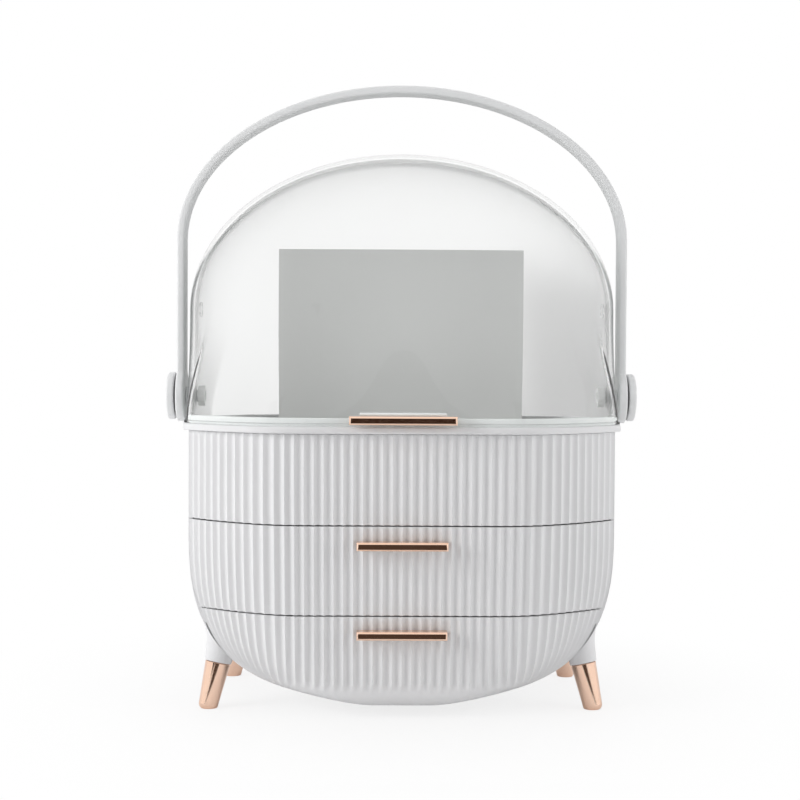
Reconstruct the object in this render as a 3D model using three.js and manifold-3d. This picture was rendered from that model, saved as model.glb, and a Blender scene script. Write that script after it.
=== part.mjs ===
// Dustproof makeup organizer: an egg-shaped fluted case on four legs, with a tray and two drawers,
// a rear dome, a clear lid that turns up over it, and a carrying handle.
// Millimetres, +Z up, front towards -Y. The origin is under the middle of the whole, on the table.
import * as THREE from 'three';
import Module from 'manifold-3d';
import { mergeVertices } from 'three/addons/utils/BufferGeometryUtils.js';

// Case, a hull whose sections are a flat front, round corners and slightly bulging flanks
const caseHalfWidth = 150;
const caseHalfDepth = 112;
const caseTop = 197;
const caseBottom = 8;
const caseWall = 2.8;
const flankBulge = 5;
const partingHalf = 61; // the flanks run between the two parting planes at +- this depth
const bellyHeight = 129; // below it the front outline closes like an egg
const bellyDrop = 122;
const bellyPower = 2.83;
const taperTopHeight = 180; // below it the front leans in, over an easing height
const taperEase = 48;
const taperSlope = 0.148;
const keelRadius = 9.5;
const cornerRadius = 45; // the corner starts round and goes on flatter
const cornerTurn = THREE.MathUtils.degToRad(37);
const cornerFarRadius = 165;
const cornerFarTurn = THREE.MathUtils.degToRad(57);
const narrowFlatShare = 0.44;

// Flutes
const flatHalf = 83;
const flatRibs = 12.5;
const cornerRibs = 11.5;
const flankRibs = 8;
const ribDepth = 1.2;
const ribFadeLow = 17;
const ribFadeHigh = 27;

// Seams between the fixed band and the two drawers
const seamUpper = 135;
const seamLower = 72.4;
const seamGap = 0.8;
const fit = 0.3; // between pieces that touch
const curveFit = 0.8; // between a flat face and a curved wall
const slideFit = 0.5; // between pieces that slide
const overrun = 20; // how far a cutter runs past what it cuts

// Tray
const trayFloor = 136.5;
const trayWall = 2;
const rimTop = 202;
const rimOut = 4;
const dividerThick = 1.8;
const dividerHeight = 40;
const dividerHalf = 122;
const dividerSide = 45;
const dividerFront = 96;
const partitionHalf = 96;
const partitionTop = 334;
const partitionBack = 62;

// Deck between the drawers, and the runners on the case's floor
const deckThick = 2;
const runnerSide = 22;
const runnerHalf = 70;
const runnerWide = 6;
const runnerHigh = 2;

// Drawers
const binWall = 1.8;
const binBack = 82;
const upperBinTop = 122;
const lowerBinTop = 63;
const binDividerHeight = 34;
const binDividerFront = 84;
const binDividerBack = 10;
const binDividerHalf = 132;
const lowDividerTop = 54;
const lowDividerHalf = 56;

// Pulls
const pullHeight = 5.8;
const pullReach = 9;
const pullEdge = 1.2;
const pullGroove = 3;
const pullGrooveDepth = 3.6;
const pullHalf = 30.8;
const upperPullHeight = 121.9;
const lowerPullHeight = 60.2;
const lidPullHalf = 36;
const lidPullHeight = 206.6;

// Dome: the lid and the rear shell are parts of two nested spheroids about the lid's axis
const lidAxisHeight = 284;
const domeBulge = 6.5; // the dome's widest ring stands this far outside the case
const domeHalfWidth = caseHalfWidth + domeBulge;
const domeRadius = 114.5;
const footMargin = 2; // the dome's foot stands this far outside the case
const lidWall = 2.2;
const lidLap = 1.2; // free space between the lid and the rear dome
const rearWall = 2.2;
const lidFlange = 1.5;
const lidFlangeThick = 2;
const lidLean = THREE.MathUtils.degToRad(7);
const rearDomeFront = 20;
const lidPinRadius = 3;
const lidPinHead = 5.5;
const lidPinHeadThick = 1.5;

// Handle
const knobRise = 18; // the pivot stands this far above the rim
const pivotHeight = rimTop + knobRise;
const bowThick = 6;
const bowWidth = 18;
const bowGap = 3.5; // free space between the dome's widest ring and the handle
const bowOutside = domeHalfWidth + bowGap + bowThick;
const bowShoulder = 335;
const bowTop = 449;
const eyeRadius = 19;
const knobRadius = 17.5;
const knobThick = 5.3;
const knobEdge = 1.5;
const studRadius = 4;
const washerRadius = 11;
const washerThick = 0.9;
const spacerRadius = 6.5;
const nutRadius = 7.5;
const nutThick = 5;

// Legs
const frontLegInset = 13; // each foot stands this far inside the case's side
const rearLegInset = 19;
const legSpreadY = 56;
const legLeanX = THREE.MathUtils.degToRad(12);
const legLeanY = THREE.MathUtils.degToRad(8);
const tipLength = 32.5;
const tipFootRadius = 6.9;
const tipTopRadius = 8.9;
const tipRound = 3;
const tipSink = 1.6; // cut off flat where the tip meets the table
const pegRadius = 5;
const pegLength = 18;
const socketFootRadius = 9.5;
const socketWaistRadius = 11;
const socketTopRadius = 17;
const socketWaist = 12;
const socketLength = 30;

// Facets
const smoothSteps = { flat: 1, corner: 5, flank: 2 };
const domeSteps = { flat: 4, corner: 6, flank: 4 };
const domeRings = 10;
const lowDomeShares = [0, 0.25, 0.5, 0.75];
const bellyRings = 6;
const bellyCrowd = 1.7;
const waistRings = 2;
const roundSides = 18;
const bowSteps = 24;
const weldShare = 0.001;

const wasm = await Module();
wasm.setup();
const { Manifold, Mesh } = wasm;

// Solids

function toSolid(geometry) {
  const bare = geometry.clone();
  bare.deleteAttribute('normal');
  bare.deleteAttribute('uv');
  const merged = mergeVertices(bare, fit * weldShare);
  const vertProperties = new Float32Array(merged.attributes.position.array);
  const triVerts = new Uint32Array(merged.index.array);
  return new Manifold(new Mesh({ numProp: 3, vertProperties, triVerts }));
}

function toGeometry(solid) {
  const mesh = solid.getMesh();
  const geometry = new THREE.BufferGeometry();
  geometry.setAttribute('position', new THREE.BufferAttribute(mesh.vertProperties, mesh.numProp));
  geometry.setIndex(new THREE.BufferAttribute(mesh.triVerts, 1));
  geometry.computeVertexNormals();
  return geometry;
}

// A closed solid through rings of equal length, with a fan from the middle over each end ring
function stackRings(rings, top = rings[rings.length - 1][0].z) {
  const count = rings[0].length;
  const points = rings.flat();
  const faces = [];
  for (let level = 0; level + 1 < rings.length; level += 1) {
    for (let i = 0; i < count; i += 1) {
      const next = (i + 1) % count;
      const low = level * count;
      const high = low + count;
      faces.push(low + i, low + next, high + next, low + i, high + next, high + i);
    }
  }
  const last = (rings.length - 1) * count;
  const lowMiddle = points.push(new THREE.Vector3(0, 0, rings[0][0].z)) - 1;
  const highMiddle = points.push(new THREE.Vector3(0, 0, top)) - 1;
  for (let i = 0; i < count; i += 1) {
    const next = (i + 1) % count;
    faces.push(lowMiddle, next, i);
    faces.push(highMiddle, last + i, last + next);
  }
  const geometry = new THREE.BufferGeometry().setFromPoints(points);
  geometry.setIndex(faces);
  return toSolid(geometry);
}

function block(low, high) {
  const size = new THREE.Vector3().subVectors(high, low);
  const middle = new THREE.Vector3().addVectors(high, low).multiplyScalar(0.5);
  const geometry = new THREE.BoxGeometry(size.x, size.y, size.z);
  geometry.translate(middle.x, middle.y, middle.z);
  return toSolid(geometry);
}

// A disc or a rod along X, from one x to another
function rodX(radius, fromX, toX, height) {
  const geometry = new THREE.CylinderGeometry(radius, radius, Math.abs(toX - fromX), roundSides);
  geometry.rotateZ(Math.PI / 2);
  geometry.translate((fromX + toX) / 2, 0, height);
  return toSolid(geometry);
}

const far = caseHalfWidth + bowTop;
const inFront = (y) => block(new THREE.Vector3(-far, -far, -far), new THREE.Vector3(far, y, far));
const behind = (y) => block(new THREE.Vector3(-far, y, -far), new THREE.Vector3(far, far, far));
const above = (z) => block(new THREE.Vector3(-far, -far, z), new THREE.Vector3(far, far, far));

// The hull's half width and half depth at a height, moved in by an inset

function hullWidth(z, inset) {
  const halfWidth = caseHalfWidth - inset;
  const drop = Math.min((bellyHeight - z) / (bellyDrop - inset), 1);
  if (drop <= 0) {
    return halfWidth;
  }
  return halfWidth * (1 - drop ** bellyPower) ** (1 / bellyPower);
}

function leanIn(z) {
  const drop = taperTopHeight - z;
  if (drop <= 0) {
    return 0;
  }
  const eased = Math.min(drop, taperEase);
  return taperSlope * (eased * eased / (2 * taperEase) + drop - eased);
}

function hullDepth(z, inset) {
  const keelHeight = caseBottom + keelRadius;
  if (z >= keelHeight) {
    return caseHalfDepth - leanIn(z) - inset;
  }
  const radius = keelRadius - inset;
  const reach = Math.sqrt(Math.max(radius ** 2 - (keelHeight - z) ** 2, 0));
  return caseHalfDepth - leanIn(keelHeight) - keelRadius + reach;
}

// The corner's curve from the flat front to the flank, by its share of the arc length
const cornerNear = cornerRadius * cornerTurn;
const cornerLength = cornerNear + cornerFarRadius * (cornerFarTurn - cornerTurn);

function cornerAt(share) {
  const along = share * cornerLength;
  const turn = Math.min(along / cornerRadius, cornerTurn);
  const farTurn = Math.max(cornerTurn + (along - cornerNear) / cornerFarRadius, cornerTurn);
  return {
    x: cornerRadius * Math.sin(turn) + cornerFarRadius * (Math.sin(farTurn) - Math.sin(cornerTurn)),
    y: cornerRadius * (1 - Math.cos(turn)) + cornerFarRadius * (Math.cos(cornerTurn) - Math.cos(farTurn)),
    turn: along > cornerNear ? farTurn : turn,
  };
}
const cornerEnd = cornerAt(1);

// Places along a quarter of the outline: the stretch, the share of it, and whether it is a valley
function smoothPlaces(steps) {
  const places = [{ part: 'flat', share: 0 }];
  Object.entries(steps).forEach(([part, count]) => {
    for (let i = 1; i <= count; i += 1) {
      places.push({ part, share: i / count });
    }
  });
  return places;
}

function flutedPlaces() {
  const places = [];
  const ribs = flatRibs + cornerRibs + flankRibs;
  for (let half = 0; half <= 2 * ribs; half += 1) {
    const rib = half / 2;
    const valley = half % 2 === 1;
    if (rib <= flatRibs) {
      places.push({ part: 'flat', share: rib / flatRibs, valley });
    } else if (rib <= flatRibs + cornerRibs) {
      places.push({ part: 'corner', share: (rib - flatRibs) / cornerRibs, valley });
    } else {
      places.push({ part: 'flank', share: (rib - flatRibs - cornerRibs) / flankRibs, valley });
    }
  }
  return places;
}

// One point of a quarter outline, right of the middle and in front of it
function outlinePoint(place, z, inset, bulge, depth) {
  const halfWidth = hullWidth(z, inset);
  const halfDepth = hullDepth(z, inset);
  const flat = Math.min(flatHalf, halfWidth * narrowFlatShare);
  const side = Math.min(partingHalf, halfDepth);
  // Where the hull is narrow, the corner's flutes run on down and crowd towards the flank
  const crowd = Math.max(cornerEnd.x * halfWidth / caseHalfWidth / (halfWidth - flat), 1);
  const fadeShare = THREE.MathUtils.smoothstep(z, ribFadeLow, ribFadeHigh);
  const sink = place.valley ? depth * fadeShare : 0;
  if (place.part === 'flat') {
    return { x: flat * place.share, y: sink - halfDepth };
  }
  if (place.part === 'corner') {
    const corner = cornerAt(place.share);
    const out = 1 - (1 - Math.min(corner.x / cornerEnd.x, 1)) ** crowd;
    return {
      x: flat + (halfWidth - flat) * out - sink * Math.sin(corner.turn),
      y: (halfDepth - side) * corner.y / cornerEnd.y - halfDepth + sink * Math.cos(corner.turn),
    };
  }
  const back = 1 - place.share;
  return { x: halfWidth + bulge * (1 - back * back) - sink, y: -side * back };
}

// The whole outline as a ring, counter-clockwise from above
function outline(z, { inset = 0, bulge = flankBulge, fluted = false, at = z, steps = smoothSteps } = {}) {
  const places = fluted ? flutedPlaces() : smoothPlaces(steps);
  const depth = fluted ? ribDepth : 0;
  const quarter = places.map((place) => outlinePoint(place, at, inset, bulge, depth));
  const ends = quarter.length - 1;
  const ring = [];
  quarter.forEach((p) => ring.push(new THREE.Vector3(p.x, p.y, z)));
  quarter.slice(0, ends).reverse().forEach((p) => ring.push(new THREE.Vector3(p.x, -p.y, z)));
  quarter.slice(1).forEach((p) => ring.push(new THREE.Vector3(-p.x, -p.y, z)));
  quarter.slice(1, ends).reverse().forEach((p) => ring.push(new THREE.Vector3(-p.x, p.y, z)));
  return ring;
}

// Heights from low to high, closer together towards the low end when crowd is over 1
function heights(low, high, count, crowd = 1) {
  return Array.from({ length: count + 1 }, (_, i) => low + (high - low) * (i / count) ** crowd);
}

const hull = (levels, options) => stackRings(levels.map((z) => outline(z, options)));

const bellyLevels = heights(caseBottom, seamLower, bellyRings, bellyCrowd);
const waistLevels = heights(seamLower, seamUpper, waistRings);
const caseLevels = [...bellyLevels, ...waistLevels.slice(1), caseTop];

// The hull's smooth inside at an inset, from its own bottom up past the case's top
function hullInside(inset, bulge = flankBulge) {
  const levels = heights(caseBottom + inset, seamLower, bellyRings, bellyCrowd);
  return hull([...levels, ...waistLevels.slice(1), caseTop, caseTop + overrun], { inset, bulge });
}

// A slice of the fluted hull's wall between two heights
function flutedWall(levels) {
  return hull(levels, { fluted: true }).subtract(hullInside(caseWall));
}

const cutFront = (solid) => solid.intersect(inFront(-partingHalf - fit / 2));
const cutBack = (solid) => solid.intersect(behind(-partingHalf + fit / 2));

// Case

function caseShell() {
  return cutBack(flutedWall(caseLevels));
}

function frontBand() {
  return cutFront(flutedWall([seamUpper + seamGap / 2, caseTop]));
}

function trayLiner() {
  const inset = caseWall + fit;
  const outside = hull([trayFloor, caseTop], { inset });
  return outside.subtract(hull([trayFloor + trayWall, caseTop + overrun], { inset: inset + trayWall }));
}

function trayRim() {
  const low = caseTop + fit;
  const hole = hull([low - overrun, rimTop + overrun], { inset: caseWall + fit + trayWall });
  const plate = stackRings([low, rimTop].map((z) => outline(z, { inset: -rimOut, at: caseTop })));
  return plate.subtract(hole);
}

function wallAcross(halfLength, y, low, high, thick) {
  const half = thick / 2;
  return block(new THREE.Vector3(-halfLength, y - half, low), new THREE.Vector3(halfLength, y + half, high));
}

function wallAlong(x, front, back, low, high, thick) {
  const half = thick / 2;
  return block(new THREE.Vector3(x - half, front, low), new THREE.Vector3(x + half, back, high));
}

const trayStand = trayFloor + trayWall + fit;

function trayDividerLong() {
  return wallAcross(dividerHalf, 0, trayStand, trayStand + dividerHeight, dividerThick);
}

function trayDivider(side) {
  const back = -dividerThick / 2 - fit;
  return wallAlong(side * dividerSide, -dividerFront, back, trayStand, trayStand + dividerHeight, dividerThick);
}

function rearPartition() {
  return wallAcross(partitionHalf, partitionBack, trayStand, partitionTop, trayWall);
}

function middleDeck() {
  const plate = hull([seamLower - deckThick / 2, seamLower + deckThick / 2], { inset: caseWall + fit });
  return plate.intersect(behind(-partingHalf + fit));
}

// Dome

// A ring of the dome: low ones blend from the case's outline to the spheroid's widest ring
function domeRing(z, inset, outset = 0) {
  const foot = outline(z, { inset: inset - footMargin - outset, at: caseTop, steps: domeSteps });
  const wide = domeHalfWidth - inset;
  const deep = domeRadius - inset;
  const rise = THREE.MathUtils.smoothstep(z, rimTop, lidAxisHeight);
  const up = Math.max(z - lidAxisHeight, 0) / deep;
  const shrink = Math.sqrt(Math.max(1 - up * up, 0));
  return foot.map((p) => {
    const reach = Math.hypot(p.x, p.y);
    const round = 1 / Math.hypot(p.x / reach / wide, p.y / reach / deep);
    const grow = shrink * THREE.MathUtils.lerp(reach, round, rise) / reach;
    return new THREE.Vector3(p.x * grow, p.y * grow, z);
  });
}

function domeSolid(inset, low, flanged) {
  const rings = [];
  let start = low;
  if (flanged) {
    start = low + lidFlangeThick + fit;
    rings.push(domeRing(low, inset, lidFlange), domeRing(low + lidFlangeThick, inset, lidFlange));
  }
  lowDomeShares.forEach((share) => {
    rings.push(domeRing(THREE.MathUtils.lerp(start, lidAxisHeight, share), inset));
  });
  const deep = domeRadius - inset;
  for (let i = 0; i < domeRings; i += 1) {
    rings.push(domeRing(lidAxisHeight + deep * Math.sin(i / domeRings * Math.PI / 2), inset));
  }
  return stackRings(rings, lidAxisHeight + deep);
}

const domeFoot = rimTop + fit;
const rearOutset = lidWall + lidLap; // how far the rear dome lies inside the lid's outside

// Everything in front of the lid's rear edge, a plane through the lid's axis that leans back
function lidSpace() {
  const geometry = new THREE.BoxGeometry(2 * far, far, 2 * far);
  geometry.translate(0, -far / 2, 0);
  geometry.rotateX(-lidLean);
  geometry.translate(0, 0, lidAxisHeight);
  return toSolid(geometry);
}

function lidShell() {
  const shell = domeSolid(0, domeFoot, true).subtract(domeSolid(lidWall, domeFoot - overrun, false));
  const holes = rodX(lidPinRadius + fit, -domeHalfWidth - overrun, domeHalfWidth + overrun, lidAxisHeight);
  return shell.intersect(lidSpace()).subtract(holes);
}

function rearDome() {
  const inside = domeSolid(rearOutset + rearWall, domeFoot - overrun, false);
  const shell = domeSolid(rearOutset, domeFoot, false).subtract(inside);
  const pins = rodX(lidPinRadius + fit, -domeHalfWidth - overrun, domeHalfWidth + overrun, lidAxisHeight);
  const studs = rodX(studRadius + fit, -domeHalfWidth - overrun, domeHalfWidth + overrun, pivotHeight);
  return shell.intersect(behind(-rearDomeFront)).subtract(pins).subtract(studs);
}

function lidPin(side) {
  const inner = domeHalfWidth - rearOutset - rearWall - curveFit;
  const outer = domeHalfWidth - fit;
  const shaft = rodX(lidPinRadius, side * (inner - lidPinHeadThick), side * outer, lidAxisHeight);
  return shaft.add(rodX(lidPinHead, side * (inner - lidPinHeadThick), side * inner, lidAxisHeight));
}

// Handle

function bowPath(shape, outside, top, clockwise) {
  const from = clockwise ? Math.PI : 0;
  const to = clockwise ? 0 : Math.PI;
  for (let i = 0; i <= bowSteps; i += 1) {
    const angle = THREE.MathUtils.lerp(from, to, i / bowSteps);
    shape.lineTo(outside * Math.cos(angle), bowShoulder + (top - bowShoulder) * Math.sin(angle));
  }
}

function handleBow() {
  const inside = bowOutside - bowThick;
  const shape = new THREE.Shape();
  shape.moveTo(bowOutside, pivotHeight);
  bowPath(shape, bowOutside, bowTop, false);
  shape.lineTo(-bowOutside, pivotHeight);
  shape.lineTo(-inside, pivotHeight);
  bowPath(shape, inside, bowTop - bowThick, true);
  shape.lineTo(inside, pivotHeight);
  const geometry = new THREE.ExtrudeGeometry(shape, { depth: bowWidth, bevelEnabled: false });
  geometry.rotateX(Math.PI / 2);
  geometry.translate(0, bowWidth / 2, 0);
  let bow = toSolid(geometry);
  [-1, 1].forEach((side) => {
    bow = bow.add(rodX(eyeRadius, side * inside, side * bowOutside, pivotHeight));
  });
  return bow.subtract(rodX(studRadius + fit, -bowOutside - overrun, bowOutside + overrun, pivotHeight));
}

const knobInside = bowOutside + 2 * fit + washerThick;
const studEnd = domeHalfWidth - rearOutset - rearWall - nutThick;

// The knob is turned about X, with its stud reaching in to the nut
function handleKnob(side) {
  const profile = [
    new THREE.Vector2(0, studEnd),
    new THREE.Vector2(studRadius, studEnd),
    new THREE.Vector2(studRadius, knobInside),
    new THREE.Vector2(knobRadius, knobInside),
    new THREE.Vector2(knobRadius, knobInside + knobThick - knobEdge),
    new THREE.Vector2(knobRadius - knobEdge, knobInside + knobThick),
    new THREE.Vector2(0, knobInside + knobThick),
  ];
  const geometry = new THREE.LatheGeometry(profile, roundSides);
  geometry.rotateZ(-side * Math.PI / 2);
  geometry.translate(0, 0, pivotHeight);
  return toSolid(geometry);
}

function ringX(radius, side, fromX, toX) {
  const hole = rodX(studRadius + fit, side * (fromX - overrun), side * (toX + overrun), pivotHeight);
  return rodX(radius, side * fromX, side * toX, pivotHeight).subtract(hole);
}

function handleWasher(side) {
  return ringX(washerRadius, side, bowOutside + fit, bowOutside + fit + washerThick);
}

function handleSpacer(side) {
  return ringX(spacerRadius, side, domeHalfWidth - rearOutset + 2 * fit, bowOutside - bowThick - fit);
}

function handleNut(side) {
  const outer = domeHalfWidth - rearOutset - rearWall - curveFit;
  return ringX(nutRadius, side, outer - nutThick, outer);
}

// Pulls: a bar with chamfered edges and a finger groove along its underside

function pullBar(halfLength, height, back) {
  const low = height - pullHeight / 2;
  const high = height + pullHeight / 2;
  const front = back - pullReach;
  const grooveBack = back - pullReach / 2 + pullGroove / 2;
  const section = [
    [back, low],
    [back, high],
    [front + pullEdge, high],
    [front, high - pullEdge],
    [front, low + pullEdge],
    [front + pullEdge, low],
    [grooveBack - pullGroove, low],
    [grooveBack - pullGroove, low + pullGrooveDepth],
    [grooveBack, low + pullGrooveDepth],
    [grooveBack, low],
  ];
  const shape = new THREE.Shape(section.map(([y, z]) => new THREE.Vector2(y, z)));
  const geometry = new THREE.ExtrudeGeometry(shape, { depth: 2 * halfLength, bevelEnabled: false });
  geometry.translate(0, 0, -halfLength);
  const turned = new THREE.Matrix4().makeBasis(
    new THREE.Vector3(0, 1, 0),
    new THREE.Vector3(0, 0, 1),
    new THREE.Vector3(1, 0, 0),
  );
  geometry.applyMatrix4(turned);
  return toSolid(geometry);
}

const pullBack = (height) => -hullDepth(height + pullHeight / 2, 0) - fit;
const lidPullBack = -caseHalfDepth - footMargin - lidFlange - fit;

// Drawers

function drawerFront(levels) {
  return cutFront(flutedWall(levels));
}

// The lower drawer slides on two runners on the case's floor
const lowerBinFloor = caseBottom + caseWall + runnerHigh + 2 * fit;

function runner(side) {
  const low = caseBottom + caseWall + fit;
  return wallAlong(side * runnerSide, -runnerHalf, runnerHalf, low, lowerBinFloor - fit, runnerWide);
}

function drawerBin(low, high) {
  const inset = caseWall + slideFit;
  const slab = (z, top) => block(new THREE.Vector3(-far, -far, z), new THREE.Vector3(far, far, top));
  const outside = hullInside(inset, 0).intersect(slab(low, high)).intersect(inFront(binBack));
  const inside = hullInside(inset + binWall, 0).intersect(slab(low + binWall, high + overrun));
  return outside.subtract(inside.intersect(inFront(binBack - binWall)));
}

const upperBinFloor = seamLower + deckThick / 2 + slideFit;
const upperStand = upperBinFloor + binWall + fit;
const upperDividerTop = upperStand + binDividerHeight;

function upperDividerLong() {
  return wallAcross(binDividerHalf, binDividerBack, upperStand, upperDividerTop, dividerThick);
}

function upperDivider(side) {
  const back = binDividerBack - dividerThick / 2 - fit;
  return wallAlong(side * dividerSide, -binDividerFront, back, upperStand, upperDividerTop, dividerThick);
}

function lowerDivider() {
  const stand = lowerBinFloor + binWall + fit;
  return wallAlong(0, -lowDividerHalf, lowDividerHalf, stand, lowDividerTop, dividerThick);
}

// Legs: a cone on the case's corner, with a peg that carries the tip

function legPlace(solid, sideX, sideY) {
  const turn = new THREE.Matrix4().makeRotationFromEuler(new THREE.Euler(sideY * legLeanY, -sideX * legLeanX, 0));
  const inset = sideY < 0 ? frontLegInset : rearLegInset;
  turn.setPosition(sideX * (caseHalfWidth - inset), sideY * legSpreadY, 0);
  return solid.transform(turn.elements);
}

function lathed(points) {
  const geometry = new THREE.LatheGeometry(points.map(([r, z]) => new THREE.Vector2(r, z)), roundSides);
  geometry.rotateX(Math.PI / 2);
  return toSolid(geometry);
}

function legTip(sideX, sideY) {
  const bore = pegRadius + fit;
  const boreEnd = tipLength - pegLength - fit;
  const tip = lathed([
    [0, -tipSink],
    [tipFootRadius - tipRound, -tipSink],
    [tipFootRadius, tipRound - tipSink],
    [tipTopRadius, tipLength],
    [bore, tipLength],
    [bore, boreEnd],
    [0, boreEnd],
  ]);
  return legPlace(tip, sideX, sideY).intersect(above(0));
}

function legSocket(sideX, sideY) {
  const low = tipLength + fit;
  const cone = lathed([
    [0, tipLength - pegLength],
    [pegRadius, tipLength - pegLength],
    [pegRadius, low],
    [socketFootRadius, low],
    [socketWaistRadius, low + socketWaist],
    [socketTopRadius, low + socketLength],
    [0, low + socketLength],
  ]);
  const near = partingHalf - fit;
  const reach = block(new THREE.Vector3(-far, -near, 0), new THREE.Vector3(far, near, caseTop));
  const clear = hull([caseBottom - fit, ...caseLevels.slice(1)], { inset: -fit });
  const upper = legPlace(cone, sideX, sideY).subtract(clear);
  const peg = upper.subtract(above(tipLength * Math.cos(legLeanX)));
  return upper.intersect(reach).add(peg);
}

// Materials

function finish(color, roughness, metalness = 0, opacity = 1) {
  const transparent = opacity < 1;
  return new THREE.MeshStandardMaterial({ color, roughness, metalness, opacity, transparent });
}

const white = finish(0xf2f2f3, 0.42);
const innerWhite = finish(0xececec, 0.5);
const clear = finish(0xf6f9fa, 0.08, 0, 0.25);
const roseGold = finish(0xd99a7c, 0.16, 1);
const grey = finish(0xd0d2d3, 0.38);
const dark = finish(0x3a3b3c, 0.5);

// The lid's pull is the foremost place and the rim the rearmost: the middle between them is at y = 0
const group = new THREE.Group();
group.position.y = (pullReach - lidPullBack - caseHalfDepth - rimOut) / 2;

function addPiece(name, solid, material) {
  const mesh = new THREE.Mesh(toGeometry(solid), material);
  mesh.name = name;
  group.add(mesh);
}

addPiece('case_shell', caseShell(), white);
addPiece('front_band', frontBand(), white);
addPiece('tray_liner', trayLiner(), innerWhite);
addPiece('tray_rim', trayRim(), white);
addPiece('tray_divider_long', trayDividerLong(), innerWhite);
addPiece('tray_divider_left', trayDivider(-1), innerWhite);
addPiece('tray_divider_right', trayDivider(1), innerWhite);
addPiece('rear_partition', rearPartition(), innerWhite);
addPiece('middle_deck', middleDeck(), innerWhite);
addPiece('rear_dome', rearDome(), white);
addPiece('runner_left', runner(-1), innerWhite);
addPiece('runner_right', runner(1), innerWhite);

[['left', -1], ['right', 1]].forEach(([side, x]) => {
  [['front', -1], ['rear', 1]].forEach(([end, y]) => {
    addPiece(`leg_socket_${end}_${side}`, legSocket(x, y), white);
    addPiece(`leg_tip_${end}_${side}`, legTip(x, y), roseGold);
  });
  addPiece(`handle_nut_${side}`, handleNut(x), innerWhite);
  addPiece(`handle_spacer_${side}`, handleSpacer(x), grey);
  addPiece(`lid_pin_${side}`, lidPin(x), clear);
  addPiece(`handle_knob_${side}`, handleKnob(x), grey);
  addPiece(`handle_washer_${side}`, handleWasher(x), dark);
});
addPiece('handle_bow', handleBow(), grey);

addPiece('lid_shell', lidShell(), clear);
addPiece('lid_pull', pullBar(lidPullHalf, lidPullHeight, lidPullBack), roseGold);

const upperLevels = heights(seamLower + seamGap / 2, seamUpper - seamGap / 2, waistRings);
addPiece('drawer_upper_front', drawerFront(upperLevels), white);
addPiece('drawer_upper_bin', drawerBin(upperBinFloor, upperBinTop), innerWhite);
addPiece('drawer_upper_pull', pullBar(pullHalf, upperPullHeight, pullBack(upperPullHeight)), roseGold);
addPiece('drawer_upper_divider_long', upperDividerLong(), innerWhite);
addPiece('drawer_upper_divider_left', upperDivider(-1), innerWhite);
addPiece('drawer_upper_divider_right', upperDivider(1), innerWhite);

const lowerLevels = [...bellyLevels.slice(0, -1), seamLower - seamGap / 2];
addPiece('drawer_lower_front', drawerFront(lowerLevels), white);
addPiece('drawer_lower_bin', drawerBin(lowerBinFloor, lowerBinTop), innerWhite);
addPiece('drawer_lower_pull', pullBar(pullHalf, lowerPullHeight, pullBack(lowerPullHeight)), roseGold);
addPiece('drawer_lower_divider', lowerDivider(), innerWhite);

export default group;
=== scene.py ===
import math

import bmesh
import bpy
import numpy as np
from mathutils import Euler, Matrix, Vector

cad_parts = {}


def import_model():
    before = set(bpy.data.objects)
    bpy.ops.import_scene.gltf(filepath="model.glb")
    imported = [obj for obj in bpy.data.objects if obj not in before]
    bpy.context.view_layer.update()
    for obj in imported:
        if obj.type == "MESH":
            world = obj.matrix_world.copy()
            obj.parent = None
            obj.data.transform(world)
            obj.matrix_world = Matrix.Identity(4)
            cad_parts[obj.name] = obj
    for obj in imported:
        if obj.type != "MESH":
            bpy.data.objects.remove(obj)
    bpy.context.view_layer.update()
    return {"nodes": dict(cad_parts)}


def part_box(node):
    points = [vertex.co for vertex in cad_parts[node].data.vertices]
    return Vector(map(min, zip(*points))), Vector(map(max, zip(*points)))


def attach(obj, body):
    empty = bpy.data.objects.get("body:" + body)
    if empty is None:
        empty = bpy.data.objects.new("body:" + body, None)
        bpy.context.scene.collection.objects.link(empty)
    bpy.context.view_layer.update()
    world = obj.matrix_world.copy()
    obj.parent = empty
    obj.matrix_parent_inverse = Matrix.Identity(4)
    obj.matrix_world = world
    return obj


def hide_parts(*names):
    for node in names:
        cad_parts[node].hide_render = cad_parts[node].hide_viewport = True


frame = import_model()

# The hull of the case, in metres, about its own middle plane
CASE_HALF_WIDTH = 0.150
CASE_HALF_DEPTH = 0.112
CASE_TOP = 0.197
CASE_BOTTOM = 0.008
CASE_WALL = 0.0028
FLANK_BULGE = 0.005
PARTING_HALF = 0.061
BELLY_HEIGHT = 0.129
BELLY_DROP = 0.122
BELLY_POWER = 2.83
TAPER_START = 0.180
TAPER_EASE = 0.048
TAPER_SLOPE = 0.148
KEEL_RADIUS = 0.0095
CORNER_RADIUS = 0.045
CORNER_TURN = math.radians(37)
CORNER_FAR_RADIUS = 0.165
CORNER_FAR_TURN = math.radians(57)
NARROW_FLAT_SHARE = 0.44

# Flutes
FLAT_HALF = 0.083
FLAT_RIBS = 12.5
CORNER_RIBS = 11.5
FLANK_RIBS = 8
RIB_DEPTH = 0.0017
RIB_FADE_LOW = 0.017
RIB_FADE_HIGH = 0.027
RIB_LEAN_START = 0.6
RIB_LEAN_END = 1.5
RIB_STEPS = (0, 0.125, 0.25, 0.375, 0.5, 0.625, 0.75, 0.875)
RIB_POWER = 1.35
STRAIGHT_HALF = 0.072
STRAIGHT_SHARE = 0.85

# Seams, lips and clearances
SEAM_UPPER = 0.135
SEAM_LOWER = 0.0724
SEAM_GAP = 0.0008
FIT = 0.0003
LIP = 0.0007
LIP_ANGLES = (90, 60, 30)
WELD = 1e-7

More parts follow.
